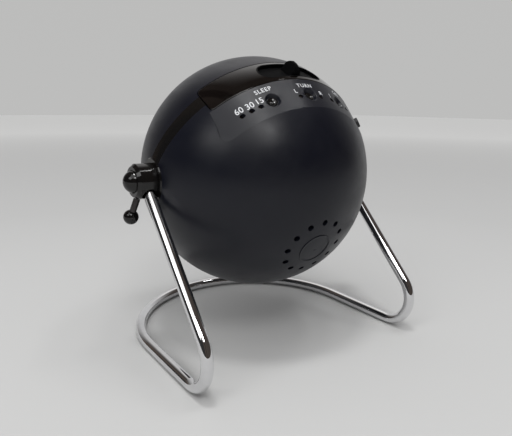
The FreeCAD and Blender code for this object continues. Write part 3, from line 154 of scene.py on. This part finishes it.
class Finish(Nodes):
    """A material with one Principled shader, and the nodes that vary it over a surface."""

    def __init__(self, name, **constants):
        self.material = bpy.data.materials.new(name)
        self.material.use_nodes = True
        super().__init__(self.material.node_tree)
        self.tree.nodes.clear()
        self.shader = self.tree.nodes.new("ShaderNodeBsdfPrincipled")
        end = self.tree.nodes.new("ShaderNodeOutputMaterial")
        self.tree.links.new(self.shader.outputs["BSDF"], end.inputs["Surface"])
        self.set(**constants)

    def set(self, **values):
        for word, given in values.items():
            self.feed(self.shader.inputs[word.replace("_", " ")], given)

    def place(self):
        return self.node("ShaderNodeTexCoord", output="Object")

    def noise(self, scale, detail=3.0, roughness=0.5, stretch=(1.0, 1.0, 1.0)):
        vector = self.node("ShaderNodeMapping", {}, {"Vector": self.place(), "Scale": stretch})
        return self.node("ShaderNodeTexNoise", {}, {
            "Vector": vector, "Scale": scale, "Detail": detail, "Roughness": roughness})

    def specks(self, scale, size):
        """1 on a few scattered round specks and 0 elsewhere."""
        near = self.node("ShaderNodeTexVoronoi", {}, {"Vector": self.place(), "Scale": scale})
        return near < size

    def mottled(self, pattern, first, second):
        """A colour that goes from the first to the second with a noise pattern."""
        self.set(Base_Color=self.colours(self.between(pattern, 0.0, 1.0), first, second))

    def bumped(self, height, strength, distance):
        self.set(Normal=self.node("ShaderNodeBump", {}, {
            "Height": height, "Strength": strength, "Distance": distance}))
        return self


def moulded(name, colour, lighter, gloss, grain_size, grain, shine=0.5):
    """Moulded plastic: an even colour with a faint cloud, a grained or polished skin and handling marks."""
    finish = Finish(name, Specular_IOR_Level=shine)
    finish.mottled(finish.noise(28.0, detail=4.0), colour, lighter)
    wiped = finish.noise(95.0, detail=6.0, roughness=0.65, stretch=(1.0, 0.45, 1.0))
    finish.set(Roughness=finish.between(wiped, gloss - 0.05, gloss + 0.06))
    skin = finish.noise(grain_size, detail=2.0, roughness=0.6)
    return finish.bumped(skin, grain, 0.00006)


def metal(name, colour, dull, gloss, brushing):
    """Metal with fine lines along its brushing and a slightly dulled film."""
    finish = Finish(name, Metallic=1.0)
    finish.mottled(finish.noise(60.0, detail=5.0, roughness=0.6), dull, colour)
    lines = finish.noise(700.0, detail=3.0, roughness=0.6, stretch=brushing)
    finish.set(Roughness=finish.between(lines, gloss * 0.75, gloss * 1.35))
    return finish.bumped(lines, 0.12, 0.00003)


def chrome_plate():
    """Bright plating with a faint film, wiping marks and a few pits."""
    finish = Finish("chrome_plate", Metallic=1.0)
    finish.mottled(finish.noise(45.0, detail=5.0, roughness=0.7), (0.66, 0.66, 0.67), (0.80, 0.80, 0.81))
    pits = finish.specks(900.0, 0.07)
    wiped = finish.noise(160.0, detail=4.0, roughness=0.6)
    finish.set(Roughness=finish.between(wiped, 0.02, 0.05) + pits * 0.10)
    return finish.bumped(finish.noise(120.0, detail=2.0), 0.03, 0.0004)


def smoked_plastic():
    """The door: a dark brown smoked plastic, polished, with a faint flow line here and there."""
    finish = Finish("smoked_plastic", Coat_Weight=0.35, Coat_Roughness=0.03)
    finish.mottled(finish.noise(40.0), (0.0024, 0.0017, 0.0014), (0.0042, 0.0030, 0.0026))
    wiped = finish.noise(120.0, detail=6.0, roughness=0.7, stretch=(0.4, 1.0, 1.0))
    finish.set(Roughness=finish.between(wiped, 0.04, 0.10))
    return finish.bumped(finish.noise(55.0, detail=2.0), 0.06, 0.0003)


def coated_glass():
    """Lens glass with the violet of its coating."""
    return Finish("coated_glass", Base_Color=(0.93, 0.96, 1.0), Roughness=0.02, IOR=1.52,
                  Transmission_Weight=1.0, Coat_Weight=0.4, Coat_Tint=(0.62, 0.50, 0.95, 1.0))


def star_film():
    """The star disc: black film with clear points of many sizes and a paler band of dense stars."""
    finish = Finish("star_film", Roughness=0.16)
    bright = finish.specks(330.0, 0.12)
    faint = finish.specks(900.0, 0.13)
    dust = finish.specks(2400.0, 0.2)
    band = finish.between(finish.noise(26.0, detail=5.0, roughness=0.6), 0.0, 1.0)
    stars = bright + faint * 0.55 + dust * band * 0.35
    finish.set(Base_Color=finish.colours(stars, (0.006, 0.007, 0.012), (0.85, 0.88, 0.95)))
    return finish


def circuit_board():
    """Green solder mask over a net of copper tracks."""
    finish = Finish("circuit_board", Coat_Weight=0.5, Coat_Roughness=0.12)
    tracks = finish.node("ShaderNodeTexBrick", {"offset": 0.37}, {
        "Vector": finish.place(), "Scale": 520.0, "Mortar Size": 0.09,
        "Color1": BLACK, "Color2": BLACK, "Mortar": WHITE}, output="Fac")
    weave = finish.noise(1500.0, detail=2.0)
    finish.set(Base_Color=finish.colours(tracks, (0.012, 0.11, 0.045), (0.02, 0.20, 0.08)),
               Roughness=finish.between(weave, 0.3, 0.45))
    return finish.bumped(tracks, 0.2, 0.00004)


def phosphor():
    """The lamp's yellow phosphor under its clear resin."""
    finish = Finish("phosphor", Coat_Weight=1.0, Coat_Roughness=0.03, Subsurface_Weight=0.2)
    grain = finish.noise(4000.0, detail=2.0)
    finish.mottled(grain, (0.85, 0.62, 0.10), (0.95, 0.78, 0.22))
    finish.set(Roughness=finish.between(grain, 0.15, 0.25))
    return finish


def light_pipe():
    """A clear light pipe: dark until its lamp is on."""
    finish = Finish("light_pipe", IOR=1.49, Coat_Weight=0.3, Coat_Roughness=0.05)
    cloud = finish.noise(600.0, detail=2.0)
    finish.mottled(cloud, (0.004, 0.003, 0.003), (0.009, 0.007, 0.006))
    finish.set(Roughness=finish.between(cloud, 0.1, 0.2))
    return finish


def printed_ink():
    """Pale ink, a little worn."""
    finish = Finish("printed_ink")
    worn = finish.noise(2600.0, detail=4.0, roughness=0.7)
    finish.mottled(worn, (0.52, 0.53, 0.55), (0.70, 0.71, 0.73))
    finish.set(Roughness=finish.between(worn, 0.4, 0.55))
    return finish.bumped(worn, 0.2, 0.00002)


FINISHES = {
    "dark_shell": moulded("satin_shell", (0.0024, 0.0030, 0.0072), (0.0038, 0.0045, 0.0094),
                          gloss=0.36, grain_size=3200.0, grain=0.20, shine=0.35),
    "black_gloss": moulded("polished_black", (0.0032, 0.0030, 0.0030), (0.0055, 0.0050, 0.0048),
                           gloss=0.085, grain_size=900.0, grain=0.015, shine=0.42),
    "black_satin": moulded("satin_black", (0.012, 0.012, 0.013), (0.018, 0.018, 0.020),
                           gloss=0.42, grain_size=2600.0, grain=0.25),
    "smoked_lid": smoked_plastic(),
    "chrome_rod": chrome_plate(),
    "screw_steel": metal("zinc_plate", (0.62, 0.63, 0.66), (0.46, 0.47, 0.49),
                         gloss=0.24, brushing=(1.0, 1.0, 0.15)),
    "black_steel": metal("blackened_steel", (0.06, 0.055, 0.055), (0.035, 0.032, 0.032),
                         gloss=0.30, brushing=(1.0, 1.0, 0.2)),
    "lens_glass": coated_glass(),
    "star_film": star_film(),
    "disc_rim": moulded("disc_rim_plastic", (0.10, 0.10, 0.11), (0.13, 0.13, 0.14),
                        gloss=0.4, grain_size=2600.0, grain=0.2),
    "light_pipe": light_pipe(),
    "board_green": circuit_board(),
    "switch_black": moulded("switch_plastic", (0.02, 0.02, 0.02), (0.04, 0.04, 0.04),
                            gloss=0.45, grain_size=2600.0, grain=0.2),
    "sink_aluminium": metal("extruded_aluminium", (0.78, 0.79, 0.80), (0.62, 0.63, 0.64),
                            gloss=0.30, brushing=(1.0, 0.1, 1.0)),
    "emitter_resin": phosphor(),
    "motor_steel": metal("motor_can", (0.56, 0.56, 0.58), (0.42, 0.42, 0.43),
                         gloss=0.26, brushing=(0.1, 1.0, 1.0)),
    "tyre_rubber": moulded("tyre_rubber", (0.018, 0.018, 0.018), (0.030, 0.030, 0.030),
                           gloss=0.75, grain_size=2200.0, grain=0.4),
    "washer_fibre": moulded("washer_fibre", (0.075, 0.035, 0.020), (0.11, 0.055, 0.030),
                            gloss=0.8, grain_size=1800.0, grain=0.6),
}
INK = printed_ink().material
GRIP = moulded("matt_black", (0.0012, 0.0012, 0.0014), (0.0020, 0.0020, 0.0024),
               gloss=0.55, grain_size=2600.0, grain=0.15, shine=0.05)

for part in frame["record"]["subparts"]:
    node = frame["nodes"][part["node"]]
    finish = GRIP if part["node"] == "door_grip" else FINISHES[part["material_slot"]]
    node.data.materials.clear()
    node.data.materials.append(finish.material)


# ------------------------------------------------------------------ legends

def finished(name, mesh, finish, body):
    """A new piece in the object's frame, which moves with a body."""
    piece = bpy.data.objects.new(name, mesh)
    bpy.context.scene.collection.objects.link(piece)
    piece.data.materials.clear()
    piece.data.materials.append(finish)
    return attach(piece, body)


# The control panel is a cone round the lens axis, between two levels below the globe's middle.
PANEL_TOP, PANEL_BOTTOM = 0.0074, 0.0256
PANEL_TOP_RADIUS = math.sqrt(BALL ** 2 - PANEL_TOP ** 2)
PANEL_LOSS = (PANEL_TOP_RADIUS - math.sqrt(BALL ** 2 - PANEL_BOTTOM ** 2)) / (PANEL_BOTTOM - PANEL_TOP)

INK_HEIGHT = 0.00003
STROKE_GAIN = 0.00003
CAPITAL_SHARE = 0.7
WORD, LETTER, NUMBER = 0.0023, 0.0024, 0.0031
CLOSE, WIDE = 1.05, 1.15

# Each legend's name and words, its middle across the panel and below the globe's middle, the height of
# its capitals and the spacing of its letters.
LEGENDS = (
    ("timer_number_60", "60", -0.0364, 0.0155, NUMBER, CLOSE),
    ("timer_number_30", "30", -0.0315, 0.0158, NUMBER, CLOSE),
    ("timer_number_15", "15", -0.0268, 0.0156, 0.0030, CLOSE),
    ("timer_word", "SLEEP", -0.0231, 0.0108, WORD, WIDE),
    ("turn_word", "TURN", 0.0002, 0.0119, WORD, WIDE),
    ("turn_left", "L", -0.0070, 0.01535, LETTER, CLOSE),
    ("turn_right", "R", 0.0089, 0.0160, LETTER, CLOSE),
    ("power_letter", "I", 0.0163, 0.0155, LETTER, CLOSE),
    ("power_word", "ON", 0.0246, 0.0107, WORD, WIDE),
)


def panel_radius(level):
    """The panel's distance from the lens axis at a level below the globe's middle."""
    return PANEL_TOP_RADIUS - (level - PANEL_TOP) * PANEL_LOSS


def on_panel(turn, level):
    """A point on the ink of the control panel, turned round the lens axis and at a level below the middle."""
    radius = panel_radius(level) + INK_HEIGHT
    return GLOBE @ Vector((radius * math.sin(turn), -radius * math.cos(turn), -level))


def flat_text(words, height, spread):
    """A line of lettering as flat faces, centred, with its capitals a given height."""
    curve = bpy.data.curves.new(words, "FONT")
    curve.body = words
    curve.align_x = "CENTER"
    curve.align_y = "CENTER"
    curve.size = height / CAPITAL_SHARE
    curve.space_character = spread
    curve.offset = STROKE_GAIN
    holder = bpy.data.objects.new(words, curve)
    bpy.context.scene.collection.objects.link(holder)
    bpy.context.view_layer.update()
    mesh = bpy.data.meshes.new_from_object(holder.evaluated_get(bpy.context.evaluated_depsgraph_get()))
    bpy.data.objects.remove(holder)
    return mesh


def print_legend(name, words, across, level, height, spread):
    """Lettering printed on the curved panel."""
    mesh = flat_text(words, height, spread)
    shape = bmesh.new()
    shape.from_mesh(mesh)
    radius = panel_radius(level)
    middle = math.asin(across / radius)
    for vertex in shape.verts:
        vertex.co = on_panel(middle + vertex.co.x / radius, level - vertex.co.y)
    bmesh.ops.recalc_face_normals(shape, faces=shape.faces)
    shape.to_mesh(mesh)
    shape.free()
    finished(name, mesh, INK, "globe")


for legend in LEGENDS:
    print_legend(*legend)


# ------------------------------------------------------------- floor, light

FLOOR_CLOTH = (0.51, 0.51, 0.505)
FLOOR_GLOW = (0.30, 0.30, 0.295)
FLOOR_EDGE = (0.51, 0.51, 0.505)
PALE_CLOTH = (0.50, 0.50, 0.495)
MIRRORED_CLOTH = (0.60, 0.60, 0.60)
CANOPY = (1.0, 0.98, 0.97)
AROUND = (0.51, 0.51, 0.515)
# What metal and gloss see of the room, from its left to its right.
ROOM_SIDE = (
    (0.0, (0.035, 0.034, 0.035)),
    (0.200, (0.035, 0.034, 0.035)),
    (0.235, (0.085, 0.068, 0.058)),
    (0.315, (0.105, 0.084, 0.072)),
    (0.325, (0.015, 0.013, 0.013)),
    (0.375, (0.015, 0.013, 0.013)),
    (0.385, (0.075, 0.062, 0.055)),
    (1.0, (0.060, 0.050, 0.045)),
)
FLOOR_SIZE = 6.0
FLOOR_DROP = 0.00005


def lay_floor():
    """A plain pale cloth, which glows a little far from the object."""
    shape = bmesh.new()
    bmesh.ops.create_grid(shape, x_segments=1, y_segments=1, size=FLOOR_SIZE)
    mesh = bpy.data.meshes.new("floor")
    shape.to_mesh(mesh)
    shape.free()
    floor = bpy.data.objects.new("floor", mesh)
    floor.location.z = -FLOOR_DROP
    bpy.context.scene.collection.objects.link(floor)
    cloth = Finish("floor_cloth", Base_Color=FLOOR_CLOTH, Roughness=0.9, Specular_IOR_Level=0.2,
                   Emission_Strength=1.0)
    away = cloth.node("ShaderNodeVectorMath", {"operation": "LENGTH"}, {0: cloth.place()}, "Value")
    cloth.set(Emission_Color=cloth.colours(cloth.rising(away, 0.4, 2.2), BLACK, FLOOR_GLOW))
    mesh.materials.append(cloth.material)


def light_room():
    """A pale room all round.  Metal and gloss see the pale cloth behind, a bright canopy above it on the
    right, and the room's darker side elsewhere."""
    world = bpy.data.worlds.new("room")
    bpy.context.scene.world = world
    world.use_nodes = True
    room = Nodes(world.node_tree)
    camera = room.node("ShaderNodeLightPath", output="Is Camera Ray")
    mirror = room.beside(camera, "Is Glossy Ray") + room.beside(camera, "Is Transmission Ray")
    way = room.node("ShaderNodeTexCoord", output="Generated")
    across = room.node("ShaderNodeSeparateXYZ", {}, {0: way}, output="X")
    back, height = room.beside(across, "Y"), room.beside(across, "Z")
    cloth = room.rising(back + across * 0.8, 0.50, 1.1) * room.between(height, 1.0, 0.0, 0.45, 0.90)
    canopy = (room.rising(across, -0.15, 0.25) * room.rising(back, 0.2, 0.55)
              * room.rising(height, 0.45, 0.65))
    dark = room.node("ShaderNodeValToRGB", {"stops": ROOM_SIDE}, {0: room.rising(across, -1.0, 1.0)})
    mirrored = room.colours(canopy, room.colours(cloth, dark, MIRRORED_CLOTH), CANOPY)
    shone = room.colours(mirror, AROUND, mirrored)
    seen = room.colours(room.rising(height, 0.0, 0.3), FLOOR_EDGE, PALE_CLOTH)
    room.feed(world.node_tree.nodes["Background"].inputs["Color"], room.colours(camera, shone, seen))


LAMP_DISTANCE = 1.3
# Each lamp's name, the way that it is seen from the globe, its size, its watts and whether it is mirrored.
LAMPS = (
    ("front_lamp", (-0.22, -0.63, 0.68), (0.34, 0.34), 3.3, True),
    ("overhead_lamp", (-0.46, -0.28, 0.84), (0.80, 0.90), 3.6, True),
    ("side_lamp", (-0.80, -0.20, 0.56), (0.60, 0.34), 1.9, True),
    ("top_lamp", (-0.14, -0.10, 0.97), (0.22, 0.18), 5.0, True),
    ("strip_lamp", (0.18, -0.12, 0.95), (0.18, 0.12), 1.0, True),
    ("narrow_lamp", (0.39, -0.16, 0.91), (0.32, 0.10), 1.3, True),
    ("ceiling", (-0.40, 0.15, 1.0), (1.1, 1.1), 0.5, False),
)


def hang_lamp(name, way, size, watts, mirrored):
    """A soft lamp, aimed at the globe."""
    away = Vector(way).normalized()
    lamp = bpy.data.lights.new(name, "AREA")
    lamp.shape = "RECTANGLE"
    lamp.size, lamp.size_y = size
    lamp.energy = watts
    facing = away.to_track_quat("Z", "Y").to_matrix().to_4x4()
    holder = bpy.data.objects.new(name, lamp)
    holder.matrix_world = Matrix.Translation(PIVOT + away * LAMP_DISTANCE) @ facing
    holder.visible_glossy = mirrored
    bpy.context.scene.collection.objects.link(holder)


lay_floor()
light_room()
for lamp in LAMPS:
    hang_lamp(*lamp)
bpy.context.scene.view_settings.view_transform = "Standard"
